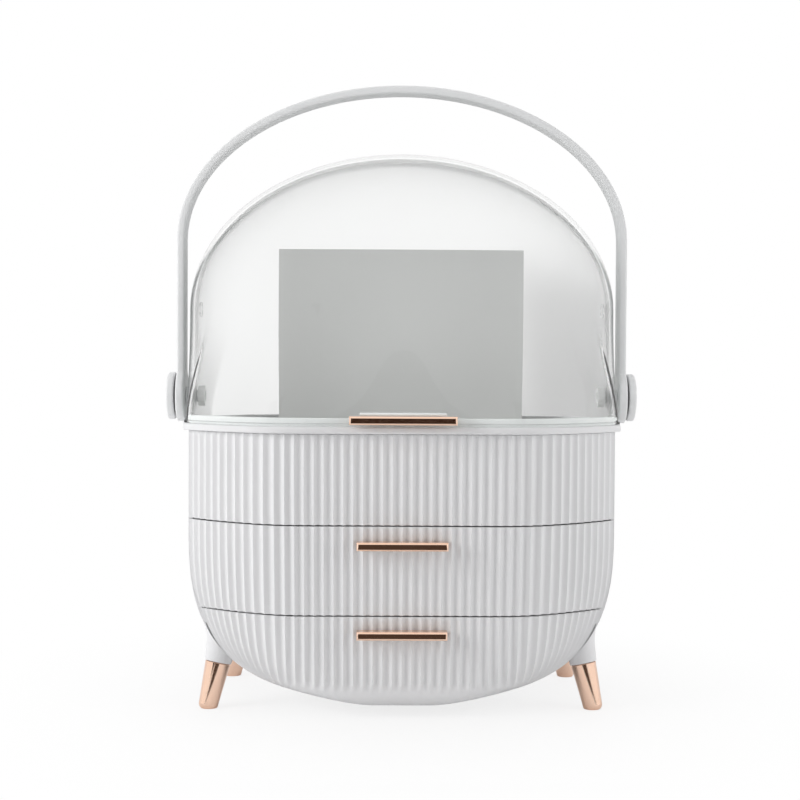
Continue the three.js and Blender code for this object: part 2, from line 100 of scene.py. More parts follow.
# Dome
RIM_TOP = 0.202
LID_AXIS_HEIGHT = 0.284
DOME_HALF_WIDTH = 0.1565
DOME_RADIUS = 0.1145
FOOT_MARGIN = 0.002
LID_WALL = 0.0022
LID_LAP = 0.0012
REAR_WALL = 0.0022
LID_FLANGE = 0.0015
LID_FLANGE_THICK = 0.002
LID_LEAN = math.radians(7)
REAR_DOME_FRONT = 0.020

# Handle
PIVOT_HEIGHT = 0.220
BOW_THICK = 0.006
BOW_HALF_WIDTH = 0.009
BOW_OUTSIDE = 0.166
BOW_SHOULDER = 0.335
BOW_TOP = 0.449
BOW_EDGE = 0.0016
EYE_RADIUS = 0.019

# Legs
LEG_SPREAD_FRONT = 0.137
LEG_SPREAD_REAR = 0.131
LEG_SPREAD_Y = 0.056
LEG_LEAN_X = math.radians(12)
LEG_LEAN_Y = math.radians(8)
TIP_LENGTH = 0.0325
TIP_FOOT_RADIUS = 0.0069
TIP_TOP_RADIUS = 0.0089
TIP_SINK = 0.0016

# The case's middle plane, from the frame
tray_low, tray_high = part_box("tray_liner")
MIDDLE_Y = (tray_low[1] + tray_high[1]) / 2


# Mesh helpers

def new_piece(name, bm, body, material, nodes=(), smooth_angle=40):
    mesh = bpy.data.meshes.new(name)
    bm.to_mesh(mesh)
    bm.free()
    piece = bpy.data.objects.new(name, mesh)
    bpy.context.scene.collection.objects.link(piece)
    mesh.materials.append(material)
    mesh.shade_smooth()
    mesh.set_sharp_from_angle(angle=math.radians(smooth_angle))
    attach(piece, body)
    if nodes:
        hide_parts(*nodes)


def wrap_grid(rows, weld=WELD):
    """A surface through rows of points, each row an array of x, y, z that closes on itself."""
    rows = [np.vstack([row, row[:1]]) for row in rows]
    along, around = len(rows) - 1, len(rows[0]) - 1
    bm = bmesh.new()
    bmesh.ops.create_grid(bm, x_segments=around, y_segments=along, size=1)
    for vert in bm.verts:
        i = round((vert.co.x + 1) / 2 * around)
        j = round((vert.co.y + 1) / 2 * along)
        vert.co = Vector(rows[j][i])
    bmesh.ops.remove_doubles(bm, verts=bm.verts, dist=weld)
    return bm


def cut(bm, point, normal):
    """Keeps what lies behind the plane and closes the cut."""
    shape = bm.verts[:] + bm.edges[:] + bm.faces[:]
    bmesh.ops.bisect_plane(bm, geom=shape, plane_co=point, plane_no=normal, dist=WELD, clear_outer=True)
    rims = [edge for edge in bm.edges if edge.is_boundary]
    bmesh.ops.holes_fill(bm, edges=rims, sides=0)
    return bm


def outward(bm):
    bmesh.ops.recalc_face_normals(bm, faces=bm.faces)
    return bm


def smooth_step(value, low, high):
    share = np.clip((value - low) / (high - low), 0, 1)
    return share * share * (3 - 2 * share)


# The hull's sections

def hull_width(z, inset):
    half_width = CASE_HALF_WIDTH - inset
    drop = min((BELLY_HEIGHT - z) / (BELLY_DROP - inset), 1)
    if drop <= 0:
        return half_width
    return half_width * (1 - drop ** BELLY_POWER) ** (1 / BELLY_POWER)


def lean_in(z):
    drop = TAPER_START - z
    if drop <= 0:
        return 0
    eased = min(drop, TAPER_EASE)
    return TAPER_SLOPE * (eased * eased / (2 * TAPER_EASE) + drop - eased)


def hull_depth(z, inset):
    keel_height = CASE_BOTTOM + KEEL_RADIUS
    if z >= keel_height:
        return CASE_HALF_DEPTH - lean_in(z) - inset
    radius = KEEL_RADIUS - inset
    reach = math.sqrt(max(radius ** 2 - (keel_height - z) ** 2, 0))
    return CASE_HALF_DEPTH - lean_in(keel_height) - KEEL_RADIUS + reach


def corner_at(share):
    near = CORNER_RADIUS * CORNER_TURN
    along = share * (near + CORNER_FAR_RADIUS * (CORNER_FAR_TURN - CORNER_TURN))
    turn = np.minimum(along / CORNER_RADIUS, CORNER_TURN)
    far = np.maximum(CORNER_TURN + (along - near) / CORNER_FAR_RADIUS, CORNER_TURN)
    x = CORNER_RADIUS * np.sin(turn) + CORNER_FAR_RADIUS * (np.sin(far) - math.sin(CORNER_TURN))
    y = CORNER_RADIUS * (1 - np.cos(turn)) + CORNER_FAR_RADIUS * (math.cos(CORNER_TURN) - np.cos(far))
    return x, y, np.where(along > near, far, turn)


CORNER_SAMPLES = 161
CORNER_SHARES = np.linspace(0, 1, CORNER_SAMPLES)
CORNER_XS, CORNER_YS, CORNER_TURNS = corner_at(CORNER_SHARES)
CORNER_END_X, CORNER_END_Y = CORNER_XS[-1], CORNER_YS[-1]


def quarter_places(ribs_each, steps):
    """Places along a quarter of an outline, in ribs from the middle of the front."""
    places = [rib + step for rib in range(ribs_each) for step in steps]
    return np.array(places + [ribs_each])


ALL_RIBS = FLAT_RIBS + CORNER_RIBS + FLANK_RIBS
FLUTED = quarter_places(int(ALL_RIBS), RIB_STEPS)
SMOOTH = quarter_places(int(ALL_RIBS), (0, 0.5))


def narrowed(wide_x, half_width):
    """Where a line of the hull at its full width lies on a narrower section: straight down, then crowded."""
    start = min(STRAIGHT_HALF, STRAIGHT_SHARE * half_width)
    room, all_room = half_width - start, CASE_HALF_WIDTH - start
    past = np.clip((wide_x - start) / all_room, 0, 1)
    return np.where(wide_x < start, wide_x, start + room * (1 - (1 - past) ** (all_room / room)))


def quarter_outline(places, z, inset, bulge, depth):
    """A quarter of the hull's section: right of the middle, in front."""
    half_width = hull_width(z, inset)
    half_depth = hull_depth(z, inset)
    flat = min(FLAT_HALF, half_width * NARROW_FLAT_SHARE)
    side = min(PARTING_HALF, half_depth)
    crowd = max(CORNER_END_X * half_width / CASE_HALF_WIDTH / (half_width - flat), 1)

    # Each line's own x, and the place on the section's corner that has it
    beyond = np.clip((places - FLAT_RIBS) / CORNER_RIBS, 0, 1)
    wide_x = FLAT_HALF * np.clip(places / FLAT_RIBS, 0, 1)
    wide_x = wide_x + (CASE_HALF_WIDTH - FLAT_HALF) * corner_at(beyond)[0] / CORNER_END_X
    x = narrowed(wide_x, half_width)
    out = np.clip((x - flat) / (half_width - flat), 0, 1)
    share = np.interp(1 - (1 - out) ** (1 / crowd), CORNER_XS / CORNER_END_X, CORNER_SHARES)
    turn = np.where(x > flat, np.interp(share, CORNER_SHARES, CORNER_TURNS), 0)
    y = (half_depth - side) * np.interp(share, CORNER_SHARES, CORNER_YS) / CORNER_END_Y - half_depth

    # A ridge is at every whole rib, and a valley half a rib on
    swing = np.abs(2 * ((places + 0.5) % 1) - 1)
    lean = np.abs(x - narrowed(wide_x, max(hull_width(z - LIP, inset), LIP))) / LIP
    fade = smooth_step(z, RIB_FADE_LOW, RIB_FADE_HIGH) * (1 - smooth_step(lean, RIB_LEAN_START, RIB_LEAN_END))
    sink = depth * fade * np.sin(swing * math.pi / 2) ** RIB_POWER

    back = 1 - np.clip((places - FLAT_RIBS - CORNER_RIBS) / FLANK_RIBS, 0, 1)
    on_flank = places > FLAT_RIBS + CORNER_RIBS
    x = np.where(on_flank, half_width + bulge * (1 - back * back) - sink, x - sink * np.sin(turn))
    y = np.where(on_flank, -side * back, y + sink * np.cos(turn))
    return x, y


def outline(z, inset=0, bulge=FLANK_BULGE, places=SMOOTH, depth=0, at=None):
    """The whole section as rows of x, y, z, counter-clockwise from the middle of the front."""
    x, y = quarter_outline(places, z if at is None else at, inset, bulge, depth)
    xs = np.concatenate([x, x[-2::-1], -x[1:], -x[-2:0:-1]])
    ys = np.concatenate([y, -y[-2::-1], -y[1:], y[-2:0:-1]])
    return np.column_stack([xs, ys + MIDDLE_Y, np.full(len(xs), z)])


def pole(row):
    """A row gathered into its middle."""
    return np.tile(np.array([0, MIDDLE_Y, row[0][2]]), (len(row), 1))


def lip_levels(low, high, count, radius=LIP):
    """Heights between two edges, with the inward step of a rounded lip at each."""
    turns = [math.radians(angle) for angle in LIP_ANGLES]
    steps = [(radius * (1 - math.sin(turn)), radius * (1 - math.cos(turn))) for turn in turns]
    start = [(low + up, inward) for up, inward in steps]
    wall = [(low + radius + (high - low - 2 * radius) * i / count, 0) for i in range(count + 1)]
    end = [(high - down, inward) for down, inward in reversed(steps)]
    return start + wall + end


def fluted_ring(low, high, count):
    """A fluted wall between two heights, open at the top and the bottom."""
    outside = [outline(z, step, places=FLUTED, depth=RIB_DEPTH) for z, step in lip_levels(low, high, count)]
    inside = [outline(z, CASE_WALL, places=FLUTED) for z in (high, (low + high) / 2, low)]
    return wrap_grid(outside + inside + outside[:1])


def fluted_bowl(high, count, crowd=1.9):
    """The fluted wall from the case's bottom up to a height, with the floor."""
    rise = high - LIP - CASE_BOTTOM
    levels = [(CASE_BOTTOM + rise * (i / count) ** crowd, 0) for i in range(count + 1)]
    levels += lip_levels(CASE_BOTTOM, high, 1)[-len(LIP_ANGLES):]
    outside = [outline(z, step, places=FLUTED, depth=RIB_DEPTH) for z, step in levels]
    floor = CASE_BOTTOM + CASE_WALL
    steps = count // 2
    heights = [floor + (high - floor) * (i / steps) ** crowd for i in range(steps, -1, -1)]
    inside = [outline(z, CASE_WALL, places=FLUTED) for z in heights]
    return wrap_grid([pole(outside[0])] + outside + inside + [pole(inside[-1])])


def keep_front(bm):
    return cut(bm, (0, MIDDLE_Y - PARTING_HALF - FIT / 2, 0), (0, 1, 0))


def keep_back(bm):
    return cut(bm, (0, MIDDLE_Y - PARTING_HALF + FIT / 2, 0), (0, -1, 0))


def bowl(low, high, inset, wall, bulge, back=None, fillet=0.004):
    """A smooth open bowl inside the hull, with a filleted floor; back flattens its rear wall."""
    def row(z, step, thick):
        ring = outline(z, inset + step + thick, bulge)
        if back is not None:
            ring[:, 1] = np.minimum(ring[:, 1], back - step - thick)
        return ring
    lip = wall / 2
    wall_shares = (0.3, 0.5, 0.7, 0.85)
    turns = [math.radians(angle) for angle in (0, 22, 45, 67, 90)]
    outside = [row(low + fillet * (1 - math.sin(a)), fillet * (1 - math.cos(a)), 0) for a in reversed(turns)]
    outside += [row(low + (high - low) * share, 0, 0) for share in wall_shares]
    over = [math.radians(angle) for angle in range(0, 181, 30)]
    rim = [row(high - lip + lip * math.sin(a), lip * (1 - math.cos(a)), 0) for a in over]
    inside = [row(low + (high - low) * share, 0, wall) for share in reversed(wall_shares)]
    inside += [row(low + wall + fillet * (1 - math.sin(a)), fillet * (1 - math.cos(a)), wall) for a in turns]
    return wrap_grid([pole(outside[0])] + outside + rim + inside + [pole(inside[-1])])


# Dome sections

def dome_ring(z, inset, outset=0):
    """A ring of the dome: low ones blend from the case's outline to the widest ring."""
    foot = outline(CASE_TOP, inset - FOOT_MARGIN - outset)
    x, y = foot[:, 0], foot[:, 1] - MIDDLE_Y
    wide, deep = DOME_HALF_WIDTH - inset, DOME_RADIUS - inset
    rise = smooth_step(z, RIM_TOP, LID_AXIS_HEIGHT)
    up = max(z - LID_AXIS_HEIGHT, 0) / deep
    shrink = math.sqrt(max(1 - up * up, 0))
    reach = np.hypot(x, y)
    full = 1 / np.hypot(x / reach / wide, y / reach / deep)
    grow = shrink * (reach + (full - reach) * rise) / reach
    return np.column_stack([x * grow, y * grow + MIDDLE_Y, np.full(len(x), z)])


def dome_rows(inset, low, wall_steps=10, cap_steps=26):
    rows = [dome_ring(low + (LID_AXIS_HEIGHT - low) * i / wall_steps, inset) for i in range(wall_steps)]
    deep = DOME_RADIUS - inset
    for i in range(cap_steps + 1):
        rows.append(dome_ring(LID_AXIS_HEIGHT + deep * math.sin(i / cap_steps * math.pi / 2), inset))
    return rows


def keep_lid_side(bm):
    """The lid ends at a plane that leans back through its axis."""
    return cut(bm, (0, MIDDLE_Y, LID_AXIS_HEIGHT), (0, math.cos(LID_LEAN), -math.sin(LID_LEAN)))


def lid_piece(material):
    low = RIM_TOP + FIT
    edge = LID_FLANGE_THICK / 2
    flange = []
    for angle in range(-90, 91, 30):
        turn = math.radians(angle)
        out = LID_FLANGE - edge + edge * math.cos(turn)
        flange.append(dome_ring(low + edge + edge * math.sin(turn), 0, out))
    outside = dome_rows(0, low + LID_FLANGE_THICK)
    inside = dome_rows(LID_WALL, low)[::-1]
    bm = keep_lid_side(wrap_grid(flange + outside + inside + flange[:1]))
    new_piece("clear_lid", outward(bm), "lid", material, ["lid_shell"])


def lid_foot_piece(material):
    """The thicker band inside the lid's foot, which catches the light: that brightness is painted into its
    pale, nearly opaque colour.
    """
    low, tall, thick, edge = RIM_TOP + 2 * FIT, 0.0052, 0.0018, 0.0006
    near = LID_WALL + FIT / 3
    outside = [dome_ring(z, near + step) for z, step in lip_levels(low, low + tall, 2, edge)]
    inside = [dome_ring(z, near + thick - step) for z, step in lip_levels(low, low + tall, 2, edge)]
    bm = keep_lid_side(wrap_grid(outside + inside[::-1] + outside[:1]))
    new_piece("lid_foot_band", outward(bm), "lid", material)


def lid_lip_piece(material):
    """The clear tab on the lid that the pull's bar sits under."""
    pull_low, pull_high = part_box("lid_pull")
    half_length, thick, behind, edge_share = 0.029, 0.002, 0.002, 0.4
    base = pull_high[2] + FIT
    low = (-half_length, pull_low[1] + behind, base)
    high = (half_length, MIDDLE_Y - CASE_HALF_DEPTH - FOOT_MARGIN, base + thick)
    bm = rounded_block(low, high, thick * edge_share)
    new_piece("clear_lid_tab", bm, "lid", material)


def rear_dome_piece(material):
    low = RIM_TOP + FIT
    inset = LID_WALL + LID_LAP
    outside = dome_rows(inset, low)
    inside = dome_rows(inset + REAR_WALL, low)[::-1]
    bm = wrap_grid(outside + inside + outside[:1])
    cut(bm, (0, MIDDLE_Y - REAR_DOME_FRONT, 0), (0, -1, 0))
    new_piece("rear_dome_moulding", outward(bm), "case", material, ["rear_dome"])


# Case and drawers

def case_pieces(white, inner):
    bm = keep_back(fluted_bowl(CASE_TOP, count=44))
    new_piece("fluted_case_shell", outward(bm), "case", white, ["case_shell"])
    bm = keep_front(fluted_ring(SEAM_UPPER + SEAM_GAP / 2, CASE_TOP, count=6))
    new_piece("fluted_front_band", outward(bm), "case", white, ["front_band"])
    tray_wall = 0.002
    bm = bowl(tray_low[2], CASE_TOP, CASE_WALL + FIT, tray_wall, FLANK_BULGE)
    new_piece("deep_tray", outward(bm), "case", inner, ["tray_liner"])
    rim_piece(white, CASE_WALL + FIT + tray_wall)


def rim_piece(white, hole_inset):
    """The flange ring under the dome, with rounded edges."""
    low, high = (corner[2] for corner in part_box("tray_rim"))
    out, outer_lip, inner_lip = 0.004, 0.0012, 0.0006
    outside = [outline(z, step - out, at=CASE_TOP) for z, step in lip_levels(low, high, 2, outer_lip)]
    inside = [outline(z, hole_inset - step, at=CASE_TOP) for z, step in lip_levels(low, high, 1, inner_lip)]
    bm = wrap_grid(outside + inside[::-1] + outside[:1])
    new_piece("dome_rim", outward(bm), "case", white, ["tray_rim"])


def drawer_pieces(white, inner):
    fronts = {
        "upper": fluted_ring(SEAM_LOWER + SEAM_GAP / 2, SEAM_UPPER - SEAM_GAP / 2, count=8),
        "lower": fluted_bowl(SEAM_LOWER - SEAM_GAP / 2, count=30),
    }
    bin_gap, bin_wall, bin_fillet = 0.0005, 0.0018, 0.003
    for drawer, front in fronts.items():
        body = f"drawer_{drawer}"
        bm = outward(keep_front(front))
        new_piece(f"fluted_{drawer}_drawer_front", bm, body, white, [f"{body}_front"])
        low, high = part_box(f"{body}_bin")
        bm = bowl(low[2], high[2], CASE_WALL + bin_gap, bin_wall, 0, back=high[1], fillet=bin_fillet)
        new_piece(f"{drawer}_drawer_bin_moulding", outward(bm), body, inner,
                  [f"{body}_bin"])


def plain_block(low, high):
    bm = bmesh.new()
    bmesh.ops.create_cube(bm, size=1)
    low, high = Vector(low), Vector(high)
    bmesh.ops.scale(bm, vec=high - low, verts=bm.verts)
    bmesh.ops.translate(bm, vec=(low + high) / 2, verts=bm.verts)
    return bm


def soften(bm, edges, size, segments):
    bmesh.ops.bevel(bm, geom=edges, offset=size, segments=segments, profile=0.5, affect="EDGES", material=-1)


def rounded_block(low, high, radius):
    bm = plain_block(low, high)
    soften(bm, bm.edges, radius, 3)
    return bm


def divider_pieces(inner):
    """The loose walls, the partition and the runners, with softened edges."""
    edge_share = 0.3
    places = ("long", "left", "right")
    fixed = ["rear_partition", "runner_left", "runner_right"]
    walls = {
        "case": [f"tray_divider_{place}" for place in places] + fixed,
        "drawer_upper": [f"drawer_upper_divider_{place}" for place in places],
        "drawer_lower": ["drawer_lower_divider"],
    }
    for body, names in walls.items():
        for name in names:
            low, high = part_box(name)
            thin = min(b - a for a, b in zip(low, high))
            bm = rounded_block(low, high, thin * edge_share)
            new_piece(f"soft_{name}", bm, body, inner, [name])


# Pulls: a flat mirror face framed by chamfers

def pull_pieces(rose_gold):
    chamfer, softening = 0.0011, 0.00018
    for body in ("lid", "drawer_upper", "drawer_lower"):
        name = f"{body}_pull"
        low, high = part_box(name)
        bm = plain_block(low, high)
        front = [edge for edge in bm.edges if all(abs(v.co.y - low[1]) < FIT for v in edge.verts)]
        soften(bm, front, chamfer, 1)
        soften(bm, bm.edges, softening, 2)
        new_piece(f"chamfered_{name}", bm, body, rose_gold, [name], smooth_angle=10)


# Handle

def bow_path(outside, top, rise_steps=40, arch_steps=72):
    """Points along the bow from the left eye over the top to the right eye."""
    foot = PIVOT_HEIGHT - EYE_RADIUS
    rise = [(-outside, foot + (BOW_SHOULDER - foot) * i / rise_steps) for i in range(rise_steps)]
    arch = []
    for i in range(arch_steps + 1):
        angle = math.pi * (1 - i / arch_steps)
        arch.append((outside * math.cos(angle), BOW_SHOULDER + (top - BOW_SHOULDER) * math.sin(angle)))
    return rise + arch + [(-x, z) for x, z in reversed(rise)]


def bow_half_width(z):
    """Half the strap's width: it spreads into a round eye about the pivot."""
    tip, blend = BOW_EDGE / 8, 6
    eye = math.sqrt(max(EYE_RADIUS ** 2 - (z - PIVOT_HEIGHT) ** 2, 0))
    if z < PIVOT_HEIGHT:
        return max(eye, tip)
    return (eye ** blend + BOW_HALF_WIDTH ** blend) ** (1 / blend)


def bow_piece(grey):
    outer = bow_path(BOW_OUTSIDE, BOW_TOP)
    inner = bow_path(BOW_OUTSIDE - BOW_THICK, BOW_TOP - BOW_THICK)
    rows = []
    corner_turns = [math.radians(angle) for angle in range(0, 91, 30)]
    edge, most_edge = BOW_EDGE / BOW_THICK, 0.6
    for (ox, oz), (ix, iz) in zip(outer, inner):
        half_width = bow_half_width(oz)
        edge_y = min(BOW_EDGE, half_width * most_edge)
        profile = []
        for across, side in ((0, -1), (0, 1), (1, 1), (1, -1)):
            turns = corner_turns if (across, side) in ((0, 1), (1, -1)) else corner_turns[::-1]
            for turn in turns:
                y = side * (half_width - edge_y * (1 - math.sin(turn)))
                share = edge * (1 - math.cos(turn))
                profile.append((share if across == 0 else 1 - share, y))
        rows.append(np.array([[ox + (ix - ox) * s, y + MIDDLE_Y, oz + (iz - oz) * s] for s, y in profile]))
    bm = wrap_grid(rows)
    bmesh.ops.holes_fill(bm, edges=[edge for edge in bm.edges if edge.is_boundary], sides=0)
    new_piece("handle_strap", outward(bm), "handle", grey, ["handle_bow"])


def turned(profile, sides=64):
    """A body turned about the X axis from (along, radius) points."""
    bm = bmesh.new()
    verts = [bm.verts.new((along, 0, radius)) for along, radius in profile]
    edges = [bm.edges.new(pair) for pair in zip(verts, verts[1:])]
    bmesh.ops.spin(bm, geom=verts + edges, cent=(0, 0, 0), axis=(1, 0, 0), angle=2 * math.pi, steps=sides,
                   use_merge=True)
    bmesh.ops.remove_doubles(bm, verts=bm.verts, dist=WELD)
    return bm


def rounded_corner(along, radius, fillet, steps=5):
    """Points of a fillet about its centre, from straight out to straight along."""
    turns = [math.radians(90 - 90 * i / steps) for i in range(steps + 1)]
    return [(along + fillet * math.cos(t), radius + fillet * math.sin(t)) for t in turns]


def knob_pieces(grey):
    """A disc with rounded edges and a shallow dish, on its stud."""
    fillet, stud, washer_room = 0.0016, 0.004, 0.0009
    dish_edge, dish_depth, dish_outer, dish_inner = 0.0002, 0.0006, 0.62, 0.6
    for side, name in ((-1, "handle_knob_left"), (1, "handle_knob_right")):
        low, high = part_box(name)
        far = max(abs(low[0]), abs(high[0]))
        radius = (high[2] - low[2]) / 2
        stud_end = min(abs(low[0]), abs(high[0]))
        inside = BOW_OUTSIDE + 2 * FIT + washer_room
        profile = [(stud_end, 0), (stud_end, stud), (inside, stud)]
        profile += [(inside, radius - fillet / 2), (inside + fillet / 2, radius)]
        profile += rounded_corner(far - fillet, radius - fillet, fillet)
        profile += [(far - dish_edge, radius * dish_outer), (far - dish_depth, radius * dish_inner)]
        profile.append((far - dish_depth, 0))
        bm = turned([(side * x, r) for x, r in profile])
        bmesh.ops.translate(bm, vec=(0, MIDDLE_Y, PIVOT_HEIGHT), verts=bm.verts)
        new_piece(f"turned_{name}", outward(bm), "handle", grey, [name])


# Legs

def leg_matrix(side_x, side_y):
    turn = Euler((side_y * LEG_LEAN_Y, -side_x * LEG_LEAN_X, 0), "XYZ").to_matrix().to_4x4()
    spread = LEG_SPREAD_FRONT if side_y < 0 else LEG_SPREAD_REAR
    place = Matrix.Translation((side_x * spread, MIDDLE_Y + side_y * LEG_SPREAD_Y, 0))
    return place @ turn


def tip_piece(name, side_x, side_y, rose_gold):
    """A plated sleeve: a slim cone with a round foot, cut flat where it stands."""
    fillet, edge, bore, bore_depth = 0.0042, 0.0005, 0.0053, 0.002
    foot = [(-TIP_SINK + fillet * (1 - math.cos(t)), TIP_FOOT_RADIUS - fillet * (1 - math.sin(t)))
            for t in (math.radians(a) for a in range(0, 91, 10))]
    profile = [(-TIP_SINK, 0)] + foot
    profile += [(TIP_LENGTH - edge, TIP_TOP_RADIUS), (TIP_LENGTH, TIP_TOP_RADIUS - edge)]
    profile += [(TIP_LENGTH, bore), (TIP_LENGTH - bore_depth, bore), (TIP_LENGTH - bore_depth, 0)]
    bm = turned(profile)
    bmesh.ops.rotate(bm, matrix=Matrix.Rotation(-math.pi / 2, 3, "Y"), verts=bm.verts)
    bmesh.ops.transform(bm, matrix=leg_matrix(side_x, side_y), verts=bm.verts)
    outward(bm)
    cut(bm, (0, 0, 0), (0, 0, -1))
    new_piece(f"plated_{name}", bm, "case", rose_gold, [name])


def hull_reach(y, z, inset):
    """How far out the flank's wall is at a depth and a height."""
    bulge = FLANK_BULGE * (1 - min(abs(y) / PARTING_HALF, 1) ** 2)
    past = max(abs(y) - PARTING_HALF, 0) / math.tan(CORNER_FAR_TURN)
    return hull_width(z, inset) + bulge - past


def socket_piece(name, side_x, side_y, white):
    """A cone from the tip up to the hull, which it meets inside the wall."""
    low = TIP_LENGTH + FIT
    foot, waist, top, flare = 0.0095, 0.011, 0.017, 1.3
    waist_up, length, sides, steps = 0.012, 0.030, 64, 20
    depth = RIB_DEPTH + FIT
    limit = PARTING_HALF + FIT / 3
    matrix = leg_matrix(side_x, side_y)

    def cone_point(up, turn):
        if up < waist_up:
            radius = foot + (waist - foot) * up / waist_up
        else:
            radius = waist + (top - waist) * ((up - waist_up) / (length - waist_up)) ** flare
        point = matrix @ Vector((radius * math.cos(turn), radius * math.sin(turn), low + up))
        point.y = MIDDLE_Y + max(min(point.y - MIDDLE_Y, limit), -limit)
        return point

    def inside_hull(point):
        return abs(point.x) < hull_reach(point.y - MIDDLE_Y, point.z, depth) and point.z > CASE_BOTTOM

    def top_of(turn):
        tries, least = 120, length / 60
        for i in range(tries + 1):
            up = length * i / tries
            if inside_hull(cone_point(up, turn)):
                return max(up, least)
        return length

    turns = [2 * math.pi * i / sides for i in range(sides)]
    tops = [top_of(turn) for turn in turns]
    inner = 0.9 * foot
    rows = [[matrix @ Vector((0, 0, low))] * sides]
    rows.append([matrix @ Vector((inner * math.cos(t), inner * math.sin(t), low)) for t in turns])
    for i in range(steps + 1):
        rows.append([cone_point(top_up * i / steps, turn) for top_up, turn in zip(tops, turns)])
    rim = rows[-1]
    middle = sum(rim, Vector()) / len(rim)
    rows.append([middle] * sides)
    bm = wrap_grid([np.array([list(p) for p in row]) for row in rows], weld=1e-6)
    new_piece(f"moulded_{name}", outward(bm), "case", white, [name])


def leg_pieces(white, rose_gold):
    for side_x, x_name in ((-1, "left"), (1, "right")):
        for side_y, y_name in ((-1, "front"), (1, "rear")):
            socket_piece(f"leg_socket_{y_name}_{x_name}", side_x, side_y, white)
            tip_piece(f"leg_tip_{y_name}_{x_name}", side_x, side_y, rose_gold)


# Materials

def start_material(name):
    material = bpy.data.materials.new(name)
    material.use_nodes = True
    nodes = material.node_tree.nodes
    return material, nodes, material.node_tree.links, nodes["Principled BSDF"]


def add_noise(nodes, links, scale, detail=2):
    """Noise in the piece's own space, as a share from 0 to 1."""
    place = nodes.new("ShaderNodeTexCoord")
    noise = nodes.new("ShaderNodeTexNoise")
    noise.inputs["Scale"].default_value = scale
    noise.inputs["Detail"].default_value = detail
    links.new(place.outputs["Object"], noise.inputs["Vector"])
    return noise.outputs["Fac"]


def vary_colour(nodes, links, shader, share, first, second):
    tint = nodes.new("ShaderNodeMix")
    tint.data_type = "RGBA"
    tint.inputs["A"].default_value = (*first, 1)
    tint.inputs["B"].default_value = (*second, 1)
    links.new(share, tint.inputs["Factor"])
    links.new(tint.outputs["Result"], shader.inputs["Base Color"])


def vary_roughness(nodes, links, shader, share, low, high):
    rough = nodes.new("ShaderNodeMapRange")
    rough.inputs["To Min"].default_value = low
    rough.inputs["To Max"].default_value = high
    links.new(share, rough.inputs["Value"])
    links.new(rough.outputs["Result"], shader.inputs["Roughness"])


def add_bump(nodes, links, shader, height, strength):
    bump = nodes.new("ShaderNodeBump")
    bump.inputs["Strength"].default_value = strength
    bump.inputs["Distance"].default_value = 0.0004
    links.new(height, bump.inputs["Height"])
    links.new(bump.outputs["Normal"], shader.inputs["Normal"])


def any_of(nodes, links, *masks):
    """1 where any of the masks is 1."""
    found = masks[0]
    for mask in masks[1:]:
        either = nodes.new("ShaderNodeMath")
        either.operation = "MAXIMUM"
        links.new(found, either.inputs[0])
        links.new(mask, either.inputs[1])
        found = either.outputs["Value"]
    return found


def mix_at_output(nodes, links, mask, first, second, output="Material Output"):
    mix = nodes.new("ShaderNodeMixShader")
    links.new(mask, mix.inputs["Fac"])
    links.new(first, mix.inputs[1])
    links.new(second, mix.inputs[2])
    links.new(mix.outputs["Shader"], nodes[output].inputs["Surface"])


def moulded_group():
    """Fine moulded grain: a colour that drifts a little, a roughness and a height."""
    group = bpy.data.node_groups.new("moulded_grain", "ShaderNodeTree")
    sockets = [("Colour", "INPUT", "Color"), ("Shade", "INPUT", "Color"), ("Grain scale", "INPUT", "Float"),
               ("Rough low", "INPUT", "Float"), ("Rough high", "INPUT", "Float"),
               ("Colour", "OUTPUT", "Color"), ("Roughness", "OUTPUT", "Float"), ("Height", "OUTPUT", "Float")]
    for name, direction, kind in sockets:
        group.interface.new_socket(name, in_out=direction, socket_type=f"NodeSocket{kind}")
    nodes, links = group.nodes, group.links
    given = nodes.new("NodeGroupInput")
    result = nodes.new("NodeGroupOutput")
    cloud = add_noise(nodes, links, 14, 4)
    grain = add_noise(nodes, links, 1, 3)
    links.new(given.outputs["Grain scale"], grain.node.inputs["Scale"])
    mix = nodes.new("ShaderNodeMix")
    mix.data_type = "RGBA"
    links.new(cloud, mix.inputs["Factor"])
    links.new(given.outputs["Colour"], mix.inputs["A"])
    links.new(given.outputs["Shade"], mix.inputs["B"])
    spread = nodes.new("ShaderNodeMapRange")
    links.new(grain, spread.inputs["Value"])
    links.new(given.outputs["Rough low"], spread.inputs["To Min"])
    links.new(given.outputs["Rough high"], spread.inputs["To Max"])
    links.new(mix.outputs["Result"], result.inputs["Colour"])
    links.new(spread.outputs["Result"], result.inputs["Roughness"])
    links.new(grain, result.inputs["Height"])
    return group


def moulded_plastic(name, group, colour, shade, rough, grain_scale=1400, bump=0.06):
    material, nodes, links, shader = start_material(name)
    grain = nodes.new("ShaderNodeGroup")
    grain.node_tree = group
    grain.inputs["Colour"].default_value = (*colour, 1)
    grain.inputs["Shade"].default_value = (*shade, 1)
    grain.inputs["Grain scale"].default_value = grain_scale
    grain.inputs["Rough low"].default_value = rough[0]
    grain.inputs["Rough high"].default_value = rough[1]
    links.new(grain.outputs["Colour"], shader.inputs["Base Color"])
    links.new(grain.outputs["Roughness"], shader.inputs["Roughness"])
    add_bump(nodes, links, shader, grain.outputs["Height"], bump)
    return material


def plated_rose_gold():
    material, nodes, links, shader = start_material("rose_gold_plate")
    haze = add_noise(nodes, links, 160, 5)
    vary_roughness(nodes, links, shader, haze, 0.05, 0.13)
    vary_colour(nodes, links, shader, haze, (0.97, 0.70, 0.55), (0.92, 0.63, 0.48))
    add_bump(nodes, links, shader, haze, 0.02)
    shader.inputs["Metallic"].default_value = 1
    return material


